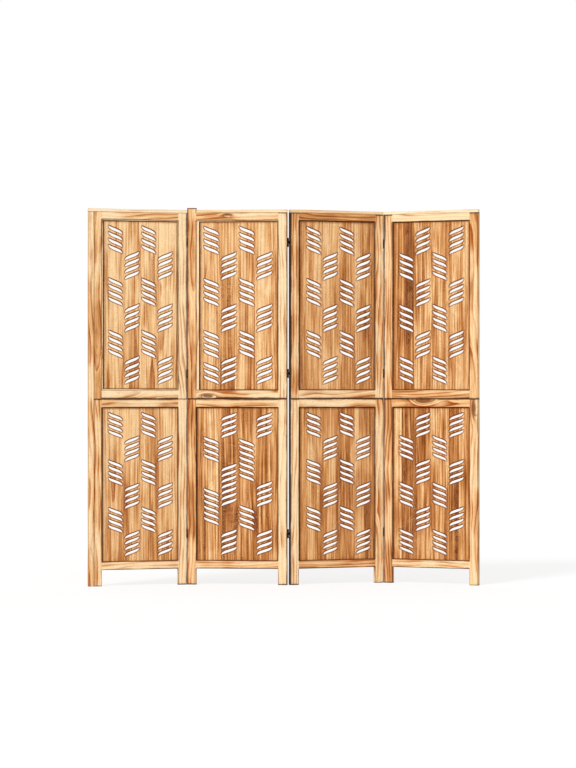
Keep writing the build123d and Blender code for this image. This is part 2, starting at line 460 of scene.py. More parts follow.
def woodNoise(tree, point, cellsEachWay, shift, detail=2.0):
    # noise drawn out along the grain
    first, second, third = tree.parts(point)
    along, across = cellsEachWay
    drawnOut = tree.joined(first * along, second * across, third * across)
    return tree.noise(tree.vector("ADD", drawnOut, shift), detail)


def ringRadius(tree, point, chance, knot, look):
    # distance from a pith beside the piece, pushed about by slow noise and bulging round a knot
    along, across, depth = tree.parts(point)
    first, second, third = tree.parts(chance)
    shift = tree.scaled(chance, cells["ringShift"])
    warp, swirl = [woodNoise(tree, point, cells[label], shift) - 0.5 for label in ("warp", "swirl")]
    besidePith = across - (first - 0.5) * look["pithSpread"] * 2.0
    abovePith = depth + look["pithDepth"] + second * look["pithRange"]
    radius = (besidePith * besidePith + abovePith * abovePith).root()
    radius = radius + warp * look["warp"] * 2.0 + swirl * look["swirl"]
    radius = radius + along * (third - 0.5) * look["taper"] * 2.0
    return radius if knot is None else radius + knot * look["knotBulge"]


def gluedStaves(tree, point, chance, look):
    # edge-glued staves, each cut from another part of the log
    along, across, depth = tree.parts(point)
    first, second, third = tree.parts(chance)
    start, farther, farthest = look["staveShifts"]
    step = across / look["staveWidth"] + start + first
    offCut = tree.add("ShaderNodeTexWhiteNoise", {"noise_dimensions": "3D"}, {
        "Vector": tree.joined(step.whole(), second * farther, third * farthest)})
    inStave = step.part() - 0.5
    glueLine = tree.ease((inStave * 2.0).size(), *masks["glueLine"])
    return tree.joined(along, inStave * look["staveWidth"], depth), offCut.other("Color"), glueLine


def boardCharAndShade(tree, colour, fromLow, sizes, ragged, slowly, look):
    # rims round the slots: char, wider and darker above as painted shade, thin below; pale on the slot's own
    # sides
    rim = tree.attribute("rim", "Fac")
    # painted shade: a slot's rim is wider and darker on its upper side
    upper = tree.ease(tree.attribute("above", "Fac"), *masks["upperSide"])
    under, above = look["rimWidth"]
    width = under + upper * (above - under)
    rimCharAndShade = tree.fade((rim + (ragged - 0.5) * look["rimRagged"]) / width, *masks["scorch"])
    rimCharAndShade = rimCharAndShade * (upper * (1 - look["rimUnder"]) + look["rimUnder"])
    # painted shade over the thin ribs between slots
    colour = tree.blend(tree.fade(rim, *masks["ribShade"]), colour, look["ribShade"], "MULTIPLY")
    colour = tree.blend(rimCharAndShade * look["rimStrength"], colour, look["rim"])
    colour = tree.blend(tree.fade(rim, *masks["cut"]) * look["cutStrength"], colour, look["cut"])
    toastAndShade = tree.fade(rim + (slowly - 0.5) * look["haloPatches"], *masks["halo"])
    # the board's distances from the sides of its opening, or from the beads in front of it
    low, high = [tree.parts(tree.attribute(label)) for label in ("seatLow", "seatHigh")]
    wide = look["seatWidth"] * ((ragged - 0.5) * look["seatRagged"] + 1.0)
    bottomReach, topReach = look["seatReach"]
    # painted shade, with some char, along the sides of the opening where the board runs in behind its frame
    # or beads
    charAndShade = None
    for distance, reach in (
            (fromLow[1] - low[1], low[2]), (sizes[1] - fromLow[1] - high[1], high[2]),
            (fromLow[0] - low[0], bottomReach), (sizes[0] - fromLow[0] - high[0], topReach)):
        # dark is the painted shade line and toast its softer painted fringe
        dark, toast = [tree.fade(distance / wide, *[reach * end for end in masks[label]])
                       for label in ("seat", "seatShadeFringe")]
        charAndShade = dark if charAndShade is None else charAndShade.most(dark)
        toastAndShade = toastAndShade.most(toast)
    return colour, charAndShade, toastAndShade


def memberCharAndShade(tree, fromLow, sizes, ragged, slowly, look):
    # distance to the nearest arris: of the distances to the three pairs of faces, the second smallest
    burns = tree.parts(tree.attribute("burns"))
    jointed = tree.attribute("jointed", "Fac")  # 1 or -1 where a rail meets the high or low edge
    ends = fromLow[0].least(sizes[0] - fromLow[0]) / burns[2]
    lowEdge = (fromLow[1] + (0.0 - jointed).most(0.0) * look["jointClear"]) / burns[0]
    highEdge = (sizes[1] - fromLow[1] + jointed.most(0.0) * look["jointClear"]) / burns[1]
    edges = lowEdge.least(highEdge)
    faces = fromLow[2].least(sizes[2] - fromLow[2])
    arris = ends.least(edges).most(ends.most(edges).least(faces))
    fine, slow, everywhere = look["burnRagged"]
    width = look["burnWidth"] * (ragged * fine + slowly * slow + everywhere)
    # char along the arrises, widened into painted shade where the reaches are long
    charAndShade = tree.fade(arris / width, *masks["arris"])
    for distance, reach in ((lowEdge, burns[0]), (highEdge, burns[1]), (ends, burns[2])):
        # faces at edges with a long reach are dark all over: char, with painted shade in the hinge gaps,
        # between the storeys and under the rails
        charAndShade = charAndShade.most(tree.fade(distance, *masks["sootAndShade"]) * tree.ease(reach, *masks["sootAndShadeReach"]))
    toastAndShade = tree.fade(arris / look["toastWidth"], *masks["toast"])
    return charAndShade, toastAndShade * (slowly * look["toastPatches"] + (1 - look["toastPatches"]))


def torchedWood(name, look):
    tree = Shader(name)
    place, room, chance = [tree.attribute(label) for label in ("place", "room", "chance")]
    tone = tree.attribute("tone", "Fac")
    fromLow, sizes = tree.parts(place), tree.parts(room)
    point = tree.vector("SUBTRACT", place, tree.scaled(room, 0.5))
    burnShift = tree.scaled(chance, cells["shift"])

    glueLine = knot = None
    if look["staveWidth"]:
        point, chance, glueLine = gluedStaves(tree, point, chance, look)
        tone = tone + (tree.parts(chance)[0] - 0.5) * look["staveTones"]
    else:
        spot = tree.parts(tree.attribute("knot"))
        fromKnot = tree.joined((fromLow[0] - spot[0]) * look["knotLength"], fromLow[1] - spot[1])
        knot = tree.fade(tree.vector("LENGTH", fromKnot).other("Value") / spot[2], *masks["knot"])
    shift = tree.scaled(chance, cells["shift"])

    rings = ringRadius(tree, point, chance, knot, look) / look["ringWidth"]
    late, fineLate = [
        tree.ease(ring, *masks[label]) * tree.fade(ring, *masks[label + "End"])
        for ring, label in ((rings.part(), "late"), ((rings * look["fineRings"]).part(), "fine"))]
    streakCells = 1 / look["streakWidth"]
    patch, streak, thread = [
        tree.ease(woodNoise(tree, point, cellsEachWay, shift), *masks[label])
        for label, cellsEachWay in (
            ("patch", cells["patch"]), ("streak", (cells["streakAlong"], streakCells)),
            ("thread", (cells["threadAlong"], streakCells * cells["threadsAcross"])))]
    fibre = woodNoise(tree, point, cells["fibre"], shift)
    pore = woodNoise(tree, point, cells["pore"], shift, 0.0)
    pores = tree.ease(pore, *masks["pore"]) * look["poreStrength"]

    streak = (streak - 0.5 + (thread - 0.5) * look["threads"]) * look["streaks"]
    level = tone + (patch - 0.5) * look["patches"] + streak
    colour = tree.ramp(level.clamped(), look["tones"])
    ringsSeen = tree.ease(patch + tone, *masks["ringsSeen"]) * (1 - look["paleRings"]) + look["paleRings"]
    ringed = (late + fineLate * look["fineStrength"]) * look["lateStrength"] * ringsSeen
    colour = tree.blend(ringed.clamped(), colour, look["late"], "MULTIPLY")
    if knot is not None:
        heart = tree.ease(knot + (fineLate - 0.5) * look["knotRings"], *masks["knotHeart"])
        colour = tree.blend(heart * look["knotStrength"], colour, look["knot"])
    darkFibre = (fibre - look["fibreFrom"]).clamped() * look["fibreStrength"]
    colour = tree.blend(darkFibre, colour, look["toast"], "MULTIPLY")
    colour = tree.blend(pores, colour, look["toast"])
    if glueLine is not None:
        colour = tree.blend(glueLine * look["glueStrength"], colour, look["toast"])

    ragged = woodNoise(tree, place, cells["ragged"], burnShift, 3.0)
    slowly = tree.ease(woodNoise(tree, place, cells["slowly"], burnShift, 1.0), *masks["slowly"])
    if look["staveWidth"]:
        colour, charAndShade, toastAndShade = boardCharAndShade(tree, colour, fromLow, sizes, ragged, slowly, look)
    else:
        charAndShade, toastAndShade = memberCharAndShade(tree, fromLow, sizes, ragged, slowly, look)
    # toast, with painted shade in the fringe of a board's recess line
    colour = tree.blend(toastAndShade * look["toastStrength"], colour, look["toast"])
    # char, with painted shade in gaps, recesses, under the rails and round the slots
    colour = tree.blend(charAndShade * look["charAndShadeStrength"], colour, look["charAndShadeColour"])

    onRings, onFibres, onBurns = look["relief"]
    height = late * onRings + fibre * onFibres - pores - charAndShade * onBurns
    rough, onRings, onFibres, onBurns = look["roughness"]
    rough = rough + late * onRings + fibre * onFibres + charAndShade * onBurns
    return tree.finishSolid(look, height, {
        "Base Color": colour, "Roughness": rough, "Specular IOR Level": look["gloss"]})


slipLook = {
    "pale": "DDBB8A",
    "dark": "A87543",
    "grain": (700.0, 25.0),  # cells to the metre across and along the slip
    "bands": (90.0, 6.0),
    "darkening": (0.5, 0.4),  # by the grain and by the bands
    "bump": (0.2, 0.2 * mm),
    "roughness": (0.6, 0.1),
}


def plainWood(name, look):
    # hidden slips: straight-grained and unburnt
    tree = Shader(name)
    x, y, z = tree.parts(tree.add("ShaderNodeTexCoord", None, None, "Object"))
    grain, bands = [
        tree.noise(tree.joined(x * across, y * across, z * along), detail)
        for (across, along), detail in ((look["grain"], 3.0), (look["bands"], 2.0))]
    byGrain, byBands = look["darkening"]
    dark = (grain * byGrain + bands * byBands).clamped()
    rough, onGrain = look["roughness"]
    return tree.finishSolid(look, grain, {
        "Base Color": tree.blend(dark, paint(look["pale"]), look["dark"]),
        "Roughness": rough + grain * onGrain})


frameWood = torchedWood("Torched frame wood", frameLook)
boardWood = torchedWood("Torched board wood", boardLook)
capWood = torchedWood("Cap wood pale with painted top light", capLook)
slipWood = plainWood("Slip wood", slipLook)
print("woods mixed")


members = {
    "arris": 0.9 * mm,
    "swell": 0.22 * mm,  # how far a hinged edge stands out towards its neighbour
    "edgeBand": 0.05 * mm,  # corners this near to a hinged edge move with it
    "cutNearness": 0.001 * mm,
    # tones of each storey's left stile, right stile, bottom rail and top rail; a lower one is paler
    "tones": {
        (1, "lower"): (0.28, 0.02, 0.0, 0.1), (1, "upper"): (0.4, -0.15, -0.02, 0.07),
        (2, "lower"): (0.5, -0.1, 0.33, 0.28), (2, "upper"): (0.42, -0.15, 0.15, 0.35),
        (3, "lower"): (-0.15, 0.1, 0.5, 0.15), (3, "upper"): (0.34, 0.12, 0.22, 0.62),
        (4, "lower"): (0.44, 0.33, 0.02, 0.44), (4, "upper"): (0.32, 0.36, 0.45, -0.05)},
    "capTones": {1: -0.15, 2: 0.35, 3: 0.35, 4: -0.15},
    "stripTone": 0.25,
    "beadTone": 0.0,
    # how far char and painted shade reach in from the low edge, the high edge and the ends, as multiples of
    # the char's usual width; the long reaches are painted shade in the hinge gaps, between the storeys and
    # under the rails
    "burns": {
        "left_stile": (2.2, 1.2, 2.6), "right_stile": (1.2, 2.2, 2.6),
        "panel_4_upper_right_stile": (1.2, 1, 2.6),
        "upper_bottom_rail": (3, 1, 1), "lower_bottom_rail": (2.2, 1, 1),
        "upper_top_rail": (1.2, 0.3, 1), "lower_top_rail": (1.2, 2.8, 1), "top_cap": (0.5, 0.1, 0.2),
        "edge_strip": (0.3, 0.8, 0.5), "stop_beads": (0.15, 0.15, 0.15),
        "panel_2_upper_left_stile": (2.8, 1.3, 2.6), "panel_3_upper_left_stile": (3.6, 1.3, 2.6),
        "panel_3_lower_left_stile": (2.4, 1.3, 2.6), "panel_4_upper_left_stile": (3.6, 1.2, 2.6),
        "panel_2_upper_bottom_rail": (4, 1.2, 1), "panel_2_lower_top_rail": (1.4, 3.2, 1),
        "panel_4_lower_right_stile": (1.2, 1.5, 2.4), "panel_1_lower_left_stile": (0.8, 1.3, 2.4),
        "panel_1_upper_left_stile": (0.8, 1.3, 0.6), "panel_1_upper_right_stile": (1.2, 2.6, 0.6),
    },
    # knots as distance along, distance across and size
    "knots": {
        "panel_2_upper_bottom_rail": (58 * mm, 16 * mm, 11 * mm),
        "panel_4_lower_top_rail": (160 * mm, 30 * mm, 16 * mm),
        "panel_2_upper_top_rail": (150 * mm, 26 * mm, 8 * mm),
        "panel_4_lower_right_stile": (800 * mm, 20 * mm, 14 * mm),
    },
    "noKnot": (-9, -9, 10 * mm),  # out of reach
}


def charAndShadeReachOf(name):
    # a piece's own reaches of char and painted shade, or those of its kind
    table = members["burns"]
    return table.get(name, next(burns for kind, burns in table.items() if name.endswith(kind)))


def dressMember(name, number, tone, material=frameWood,
                joints=(), jointSide=0, hinged=False):
    # the node's own shape with eased arrises; place and room run along, across and through each bar.
    # a stile's joints are the heights where its rails start and end; jointSide is 1 for rails on its right
    work = localCopy(name, number)
    for height in joints:
        bmesh.ops.bisect_plane(work, geom=work.verts[:] + work.edges[:] + work.faces[:],
                               dist=members["cutNearness"], plane_co=(0, 0, height), plane_no=(0, 0, 1))
    if hinged:
        edge = (min if jointSide > 0 else max)(vertex.co.x for vertex in work.verts)
        for vertex in work.verts:
            if abs(vertex.co.x - edge) < members["edgeBand"]:
                vertex.co.x -= jointSide * members["swell"]
    easeArrises(work, members["arris"])
    work.verts.index_update()
    places, rooms, chances = ([None] * len(work.verts) for item in range(3))
    neighbours = {vertex: [edge.other_vert(vertex) for edge in vertex.link_edges] for vertex in work.verts}
    for bar in linkedGroups(neighbours):
        low, high = span([vertex.co for vertex in bar])
        order = (2, 0, 1) if high.z - low.z > high.x - low.x else (0, 2, 1)
        chance = [dice.random() for axis in range(3)]
        for vertex in bar:
            places[vertex.index] = [vertex.co[axis] - low[axis] for axis in order]
            rooms[vertex.index] = [high[axis] - low[axis] for axis in order]
            chances[vertex.index] = chance
    mesh = meshFrom(work, name + "_wood")
    count = len(mesh.vertices)
    giveVectors(mesh, "place", places)
    giveVectors(mesh, "room", rooms)
    giveVectors(mesh, "chance", chances)
    giveVectors(mesh, "burns", [charAndShadeReachOf(name)] * count)
    giveVectors(mesh, "knot", [members["knots"].get(name, members["noKnot"])] * count)
    giveNumbers(mesh, "tone", [tone] * count)
    spans = list(zip(joints[::2], joints[1::2]))
    giveNumbers(mesh, "jointed", [
        jointSide if any(low < face.center.z < high for low, high in spans) else 0 for face in mesh.polygons
    ], "FACE")
    placePiece(name + "_wood", mesh, number, material, [name])


for number in panels:
    for storey in storeys:
        stem = f"panel_{number}_{storey}"
        *stileTones, bottomTone, topTone = members["tones"][number, storey]
        rails = {f"{stem}_bottom_rail": bottomTone, f"{stem}_top_rail": topTone}
        heights = [corner.z for rail in rails for corner in localBox(rail, number)]
        for side, inner, tone in zip(sides, (1, -1), stileTones):
            hinged = (number, side) not in ((1, "left"), (4, "right"))
            dressMember(f"{stem}_{side}_stile", number, tone, joints=heights, jointSide=inner, hinged=hinged)
        for rail, tone in rails.items():
            dressMember(rail, number, tone)
    dressMember(f"panel_{number}_top_cap", number, members["capTones"][number], capWood)
dressMember("panel_1_edge_strip", 1, members["stripTone"])
for number in (1, 2):
    dressMember(f"panel_{number}_upper_stop_beads", number, members["beadTone"])
print("frame members dressed")


boards = {
    "halo": 5.7 * mm,  # width of the ring of finer faces round a slot
    "curvePoints": 13,  # along each edge of a leaf
    "frontBand": 0.1 * mm,  # faces this near to a board's front, and this square to it, are its front
    "frontSquare": 0.9,
    "firstHandle": (0.42, 0.38),  # of a leaf's upper edge, as shares of its width and drop
    "secondHandle": (1.0, 0.5),
    "rimEase": 0.5 * mm,
    "weld": 0.02 * mm,
    "sharpFrom": 32,  # degrees between two faces
    # tone at the lower left, and how much darker it gets across to the right and up to the top
    "tones": {
        (1, "upper"): (0.38, 0, -0.4), (1, "lower"): (0.42, 0.1, -0.24),
        (2, "upper"): (0.34, 0.06, -0.2), (2, "lower"): (0.35, 0.18, 0),
        (3, "upper"): (0.38, 0.1, 0), (3, "lower"): (0.53, -0.06, 0),
        (4, "upper"): (0.62, -0.18, 0), (4, "lower"): (0.44, 0.18, 0)},
    # widths of the beads over a board's bottom, left, top and right sides
    "beads": {
        (1, "upper"): (4.5 * mm, 6 * mm, 4.5 * mm, 2.5 * mm), (2, "upper"): (0, 12.5 * mm, 4.5 * mm, 0)},
    "noBeads": (0, 0, 0, 0),
    # how far the painted shade line reaches at the left and right side of an opening
    "seats": {1: (1.5, 0.6), 2: (1.4, 0.6), 3: (1.8, 0.9), 4: (1.2, 0.9)},
}


def growBoardTree(look):
    tree = Grower("Pierced board", {
        "Leaf width": "size", "Leaf drop": "size", "Halo": "size", "Thickness": "size",
        "Board across": "size", "Board up": "size", "Board middle": "place", "Edge points": "number",
        "Wood": "material"})
    width, drop, halo = tree.given("Leaf width"), tree.given("Leaf drop"), tree.given("Halo")

    def onLeaf(share):
        return tree.joined((share[0] - 0.5) * width, (0.5 - share[1]) * drop)

    upperEdge = tree.add("GeometryNodeCurvePrimitiveBezierSegment", {"mode": "POSITION"}, {
        "Resolution": tree.given("Edge points"), "Start": onLeaf((0, 0)), "End": onLeaf((1, 1)),
        "Start Handle": onLeaf(look["firstHandle"]), "End Handle": onLeaf(look["secondHandle"])})
    lowerEdge = tree.add("GeometryNodeTransform", None, {"Geometry": upperEdge, "Rotation": (0, 0, math.pi)})
    wires = tree.add("GeometryNodeCurveToMesh", None, {"Curve": tree.together(upperEdge, lowerEdge)})
    leaf = tree.add("GeometryNodeMeshToCurve", None, {"Mesh": tree.welded(wires, look["weld"])})
    outward = tree.vector("CROSS_PRODUCT", tree.add("GeometryNodeInputTangent"), (0, 0, -1))
    leaf = tree.stored(leaf, "outward", outward, "FLOAT_VECTOR")
    away = tree.scaled(tree.named("outward"), halo)
    haloLine = tree.add("GeometryNodeSetPosition", None, {"Geometry": leaf, "Offset": away})

    # the ring of wood round one leaf: rim runs from 0 at the slot to 1, above from -1 under it to 1 over it
    slotLine = tree.add("GeometryNodeCurveToMesh", None, {"Curve": leaf})
    ring = tree.add("GeometryNodeExtrudeMesh", {"mode": "EDGES"}, {"Mesh": slotLine, "Offset Scale": 0.0})
    outerLine = ring.other("Top")
    ring = tree.stored(ring, "rim", outerLine)
    ring = tree.add("GeometryNodeSetPosition", None, {
        "Geometry": ring, "Selection": outerLine, "Offset": away})
    ring = tree.stored(ring, "above", tree.parts(tree.named("outward"))[1])
    stretch = tree.named("stretch")

    def onPoints(shape):
        spread = tree.add("GeometryNodeInstanceOnPoints", None, {
            "Points": tree.given("Geometry"), "Instance": shape, "Scale": stretch})
        return tree.add("GeometryNodeRealizeInstances", None, {0: spread})

    outline = tree.add("GeometryNodeCurvePrimitiveQuadrilateral", None, {
        "Width": tree.given("Board across"), "Height": tree.given("Board up")})
    outline = tree.add("GeometryNodeTransform", None, {
        "Geometry": outline, "Translation": tree.given("Board middle")})
    field = tree.add("GeometryNodeFillCurve", None, {"Curve": tree.together(outline, onPoints(haloLine))})
    field = tree.stored(field, "rim", 1.0)
    sheet = tree.welded(tree.together(field, onPoints(ring)), look["weld"])
    front = tree.add("GeometryNodeExtrudeMesh", {"mode": "FACES"}, {
        "Mesh": sheet, "Offset": tree.joined(0.0, 0.0, tree.given("Thickness")), "Offset Scale": 1.0,
        "Individual": False})
    solid = tree.welded(tree.together(sheet, front), look["weld"])
    tree.finish(solid, tree.given("Wood"))
    return tree


def leafSlots(name, number):
    # each slot's middle, size and lean, read from the rims of the openings in the node's front face
    work = localCopy(name, number)
    front = min(vertex.co.y for vertex in work.verts)

    def facesFront(face):
        near = abs(face.calc_center_median().y - front) < boards["frontBand"]
        return near and abs(face.normal.y) > boards["frontSquare"]

    neighbours = {}
    for edge in work.edges:
        if sum(facesFront(face) for face in edge.link_faces) == 1:
            a, b = edge.verts
            neighbours.setdefault(a, []).append(b)
            neighbours.setdefault(b, []).append(a)
    slots = []
    for rim in linkedGroups(neighbours):
        xs, zs = [vertex.co.x for vertex in rim], [vertex.co.z for vertex in rim]
        size = (max(xs) - min(xs), max(zs) - min(zs))
        middle = ((max(xs) + min(xs)) / 2, (max(zs) + min(zs)) / 2)
        falls = sum((x - middle[0]) * (z - middle[1]) for x, z in zip(xs, zs)) < 0
        slots.append((size, middle, 1.0 if falls else -1.0))
    work.free()
    slots.sort(key=lambda slot: -slot[0][0])
    return slots[0], slots[1:]  # the widest rim is the board's own outline


boardTree = growBoardTree(boards)


def carveBoard(number, storey):
    stem = f"panel_{number}_{storey}"
    name = f"{stem}_board"
    (outline, middle, _), leaves = leafSlots(name, number)
    low, high = localBox(name, number)
    base = pointMesh(name + "_points", [(x, z, 0) for _, (x, z), _ in leaves])
    leafWidth, leafDrop = leaves[0][0]
    giveVectors(base, "stretch", [
        (leans * wide / leafWidth, fall / leafDrop, 1) for (wide, fall), _, leans in leaves])
    mesh = grown(name + "_carved", boardTree, base, {
        "Leaf width": leafWidth, "Leaf drop": leafDrop, "Halo": boards["halo"],
        "Thickness": high.y - low.y, "Board across": outline[0], "Board up": outline[1],
        "Board middle": (middle[0], middle[1], 0), "Edge points": boards["curvePoints"], "Wood": boardWood})
    # the tree lays the board flat with its back down; stand it up in its grooves
    mesh.transform(Matrix.Translation((0, high.y, 0)) @ Matrix.Rotation(math.pi / 2, 4, "X"))
    work = bmesh.new()
    work.from_mesh(mesh)
    bmesh.ops.recalc_face_normals(work, faces=work.faces)
    easeArrises(work, boards["rimEase"], 1)
    openEdges = sum(1 for edge in work.edges if len(edge.link_faces) != 2)
    work.to_mesh(mesh)
    work.free()
    mesh.shade_smooth()
    mesh.set_sharp_from_angle(angle=math.radians(boards["sharpFrom"]))
    left = localBox(f"{stem}_left_stile", number)[1].x
    right = localBox(f"{stem}_right_stile", number)[0].x
    bottom = localBox(f"{stem}_bottom_rail", number)[1].z
    top = localBox(f"{stem}_top_rail", number)[0].z
    chance = [dice.random() for axis in range(3)]
    count = len(mesh.vertices)
    giveVectors(mesh, "place", [(v.co.z - bottom, v.co.x - left, v.co.y - low.y) for v in mesh.vertices])
    giveVectors(mesh, "room", [(top - bottom, right - left, high.y - low.y)] * count)
    giveVectors(mesh, "chance", [chance] * count)
    tone, darkerAcross, darkerUp = boards["tones"][number, storey]
    giveNumbers(mesh, "tone", [
        tone + darkerAcross * (v.co.x - left) / (right - left) + darkerUp * (v.co.z - bottom) / (top - bottom)
        for v in mesh.vertices])
    beads = boards["beads"].get((number, storey), boards["noBeads"])
    leftReach, rightReach = boards["seats"][number]
    giveVectors(mesh, "seatLow", [(beads[0], beads[1], leftReach)] * count)
    giveVectors(mesh, "seatHigh", [(beads[2], beads[3], rightReach)] * count)
    for label in ("outward", "stretch"):
        if label in mesh.attributes:
            mesh.attributes.remove(mesh.attributes[label])
    placePiece(name + "_carved", mesh, number, None, [name])
    print(f"{name}: {len(leaves)} leaves, {len(mesh.polygons)} faces, {openEdges} open edges")


for number in panels:
    for storey in storeys:
        carveBoard(number, storey)
print("boards carved")


hinges = {
    "heights": [height * mm for height in (232, 958, 1552)],
    "length": 40 * mm,
    "joints": ((0.6 * mm, True), (5.7 * mm, False), (0.6 * mm, True)),  # gap between the stiles, pin in front
    "standOff": 0.5 * mm,  # of the pin's axis from the faces
    "knuckleRadius": 3.55 * mm, "knuckleGap": 0.3 * mm, "flats": 32, "lip": 0.35 * mm,
    "pinRadius": 2 * mm, "pinReach": 0.5,  # how far it reaches into the end knuckles, as a share of one
    "headHeight": 0.9 * mm, "headWidth": 1.25, "domeWidth": 0.95, "domeHeight": 0.7,
    "plateThickness": 1.5 * mm, "plateStart": 4.2 * mm, "plateDepth": 14 * mm, "corner": 1.8 * mm,
    "cornerStep": 15,  # degrees
    "screws": ((8.5, 7), (14.5, 20), (8.5, 33)),  # back from the pin's axis and up from the hinge's end, mm
    "screwRadius": 2.3 * mm, "screwDepth": 0.7 * mm, "screwProud": 0.12 * mm,
    "screwFlats": 20, "screwTaper": 0.45,
    "crossWidth": 0.7 * mm, "crossReach": 2.7 * mm, "crossLift": 1.1,  # in depths of the head
    "sharpFrom": 35,  # degrees between two faces
}
steelLook = {
    "tones": ((0.3, "2A1E17"), (0.55, "46342A"), (0.75, "6E5440")),
    "rubbed": "9A7B58",  # where hands have worn the bronze away
    "rubbedFrom": (0.5, 0.68),
    "rubbedStrength": 0.5,
    "cloud": 160.0,  # cells to the metre
    "brush": (900.0, 6000.0),  # the same across and along the hinge
    "metallic": 0.85,
    "roughness": (0.36, 0.3, 0.12),  # everywhere, more in the clouds, less where rubbed
    "bump": (0.25, 0.1 * mm),
    "cloudRelief": 0.6,
}


def bronze(look):
    tree = Shader("Bronzed steel")
    spot = tree.add("ShaderNodeTexCoord", None, None, "Object")
    x, y, z = tree.parts(spot)
    across, along = look["brush"]
    cloud = tree.noise(tree.scaled(spot, look["cloud"]), 4.0, 0.6)
    brush = tree.noise(tree.joined(x * across, y * across, z * along), 2.0)
    rubbed = tree.ease(cloud, *look["rubbedFrom"])
    colour = tree.ramp(cloud, look["tones"])
    colour = tree.blend(rubbed * look["rubbedStrength"], colour, look["rubbed"])
    rough, inClouds, whereRubbed = look["roughness"]
    return tree.finishSolid(look, brush + cloud * look["cloudRelief"], {
        "Base Color": colour, "Metallic": look["metallic"],
        "Roughness": rough + cloud * inClouds - rubbed * whereRubbed})


def growScrewTree(look):
    # one countersunk head with a cross cut in it, set on each point and turned to face the way it aims
    tree = Grower("Plate screws", {
        "Head radius": "size", "Head depth": "size", "Cross width": "size", "Cross reach": "size",
        "Metal": "material"})
    radius, depth = tree.given("Head radius"), tree.given("Head depth")
    head = tree.add("GeometryNodeMeshCone", None, {
        "Vertices": look["screwFlats"], "Radius Top": radius, "Radius Bottom": radius * look["screwTaper"],
        "Depth": depth})
    arm = tree.add("GeometryNodeMeshCube", None, {
        "Size": tree.joined(tree.given("Cross reach"), tree.given("Cross width"), depth)})
    lift = tree.joined(0.0, 0.0, depth * look["crossLift"])
    arms = [
        tree.add("GeometryNodeTransform", None, {
            "Geometry": arm, "Translation": lift, "Rotation": (0, 0, turn)})
        for turn in (0, math.pi / 2)]
    cut = tree.add("GeometryNodeMeshBoolean", {"operation": "DIFFERENCE", "solver": "EXACT"}, {
        "Mesh 1": head, "Mesh 2": arms})
    turned = tree.add("FunctionNodeAlignRotationToVector", {"axis": "Z"}, {"Vector": tree.named("aim")})
    spread = tree.add("GeometryNodeInstanceOnPoints", None, {
        "Points": tree.given("Geometry"), "Instance": cut, "Rotation": turned})
    tree.finish(spread, tree.given("Metal"))
    return tree


steel = bronze(steelLook)
screwTree = growScrewTree(hinges)


def addTurned(work, profile, flats):
    # a closed body of revolution about z, from (radius, height) pairs that start and end on the axis
    rings = []
    for radius, height in profile:
        if radius == 0:
            rings.append([work.verts.new((0, 0, height))] * flats)
        else:
            turns = [2 * math.pi * step / flats for step in range(flats)]
            rings.append([
                work.verts.new((radius * math.cos(turn), radius * math.sin(turn), height)) for turn in turns])
    for below, over in zip(rings, rings[1:]):
        for step in range(flats):
            after = (step + 1) % flats
            # a corner on the axis comes twice
            work.faces.new(list(dict.fromkeys((below[step], below[after], over[after], over[step]))))


def addPlate(work, inner, knuckles, into, back):
    # a leaf's plate, with a neck to each of its own knuckles; inner is its face at the gap
    neckEnd, length, corner = hinges["plateStart"], hinges["length"], hinges["corner"]
    reach = neckEnd + hinges["plateDepth"]
    steps = []
    for low, high in knuckles:
        steps += [(neckEnd, low), (0, low), (0, high), (neckEnd, high)]
    # a neck at the plate's very end has no step there
    steps = steps[1:] if knuckles[0][0] == 0 else [(neckEnd, 0)] + steps
    steps = steps[:-1] if knuckles[-1][1] == length else steps + [(neckEnd, length)]
    rounded = [
        (reach - corner + corner * math.cos(math.radians(first - turn)),
         middle + corner * math.sin(math.radians(first - turn)))
        for middle, first in ((length - corner, 90), (corner, 0))
        for turn in range(0, 91, hinges["cornerStep"])]
    loop = steps + rounded
    near, far = [
        [work.verts.new((across, back * depth, up)) for depth, up in loop]
        for across in (inner, inner + into * hinges["plateThickness"])]
    work.faces.new(near)
    work.faces.new(far[::-1])
    for step in range(len(loop)):
        after = (step + 1) % len(loop)
        work.faces.new((near[step], far[step], far[after], near[after]))


def makeHinge(side, gap, into, back):
    # one half of a hinge, its axis along z: knuckles and plate, and on a panel's right side the pin too
    length, flats, lip, radius = [hinges[label] for label in ("length", "flats", "lip", "knuckleRadius")]
    third, ease = length / 3, hinges["knuckleGap"] / 2
    spans = [(0, third - ease), (third + ease, 2 * third - ease), (2 * third + ease, length)]
    mine = spans[::2] if side == "right" else spans[1:2]
    work = bmesh.new()
    for foot, top in mine:
        addTurned(work, [
            (0, foot), (radius - lip, foot), (radius, foot + lip), (radius, top - lip), (radius - lip, top),
            (0, top)], flats)
    addPlate(work, into * gap / 2, mine, into, back)
    if side == "right":
        pin, dome, reach = hinges["pinRadius"], hinges["headHeight"], hinges["pinReach"] * third
        headRadius, domeRadius = pin * hinges["headWidth"], pin * hinges["domeWidth"]
        for foot, way in ((0, -dome), (length, dome)):
            addTurned(work, [
                (0, foot - way), (headRadius, foot - way), (headRadius, foot),
                (domeRadius, foot + way * hinges["domeHeight"]), (0, foot + way)], flats)
        low, high = third - reach, 2 * third + reach
        addTurned(work, [(0, low), (pin, low), (pin, high), (0, high)], flats)
    bmesh.ops.recalc_face_normals(work, faces=work.faces)
    return meshFrom(work, f"hinge_{side}_single")


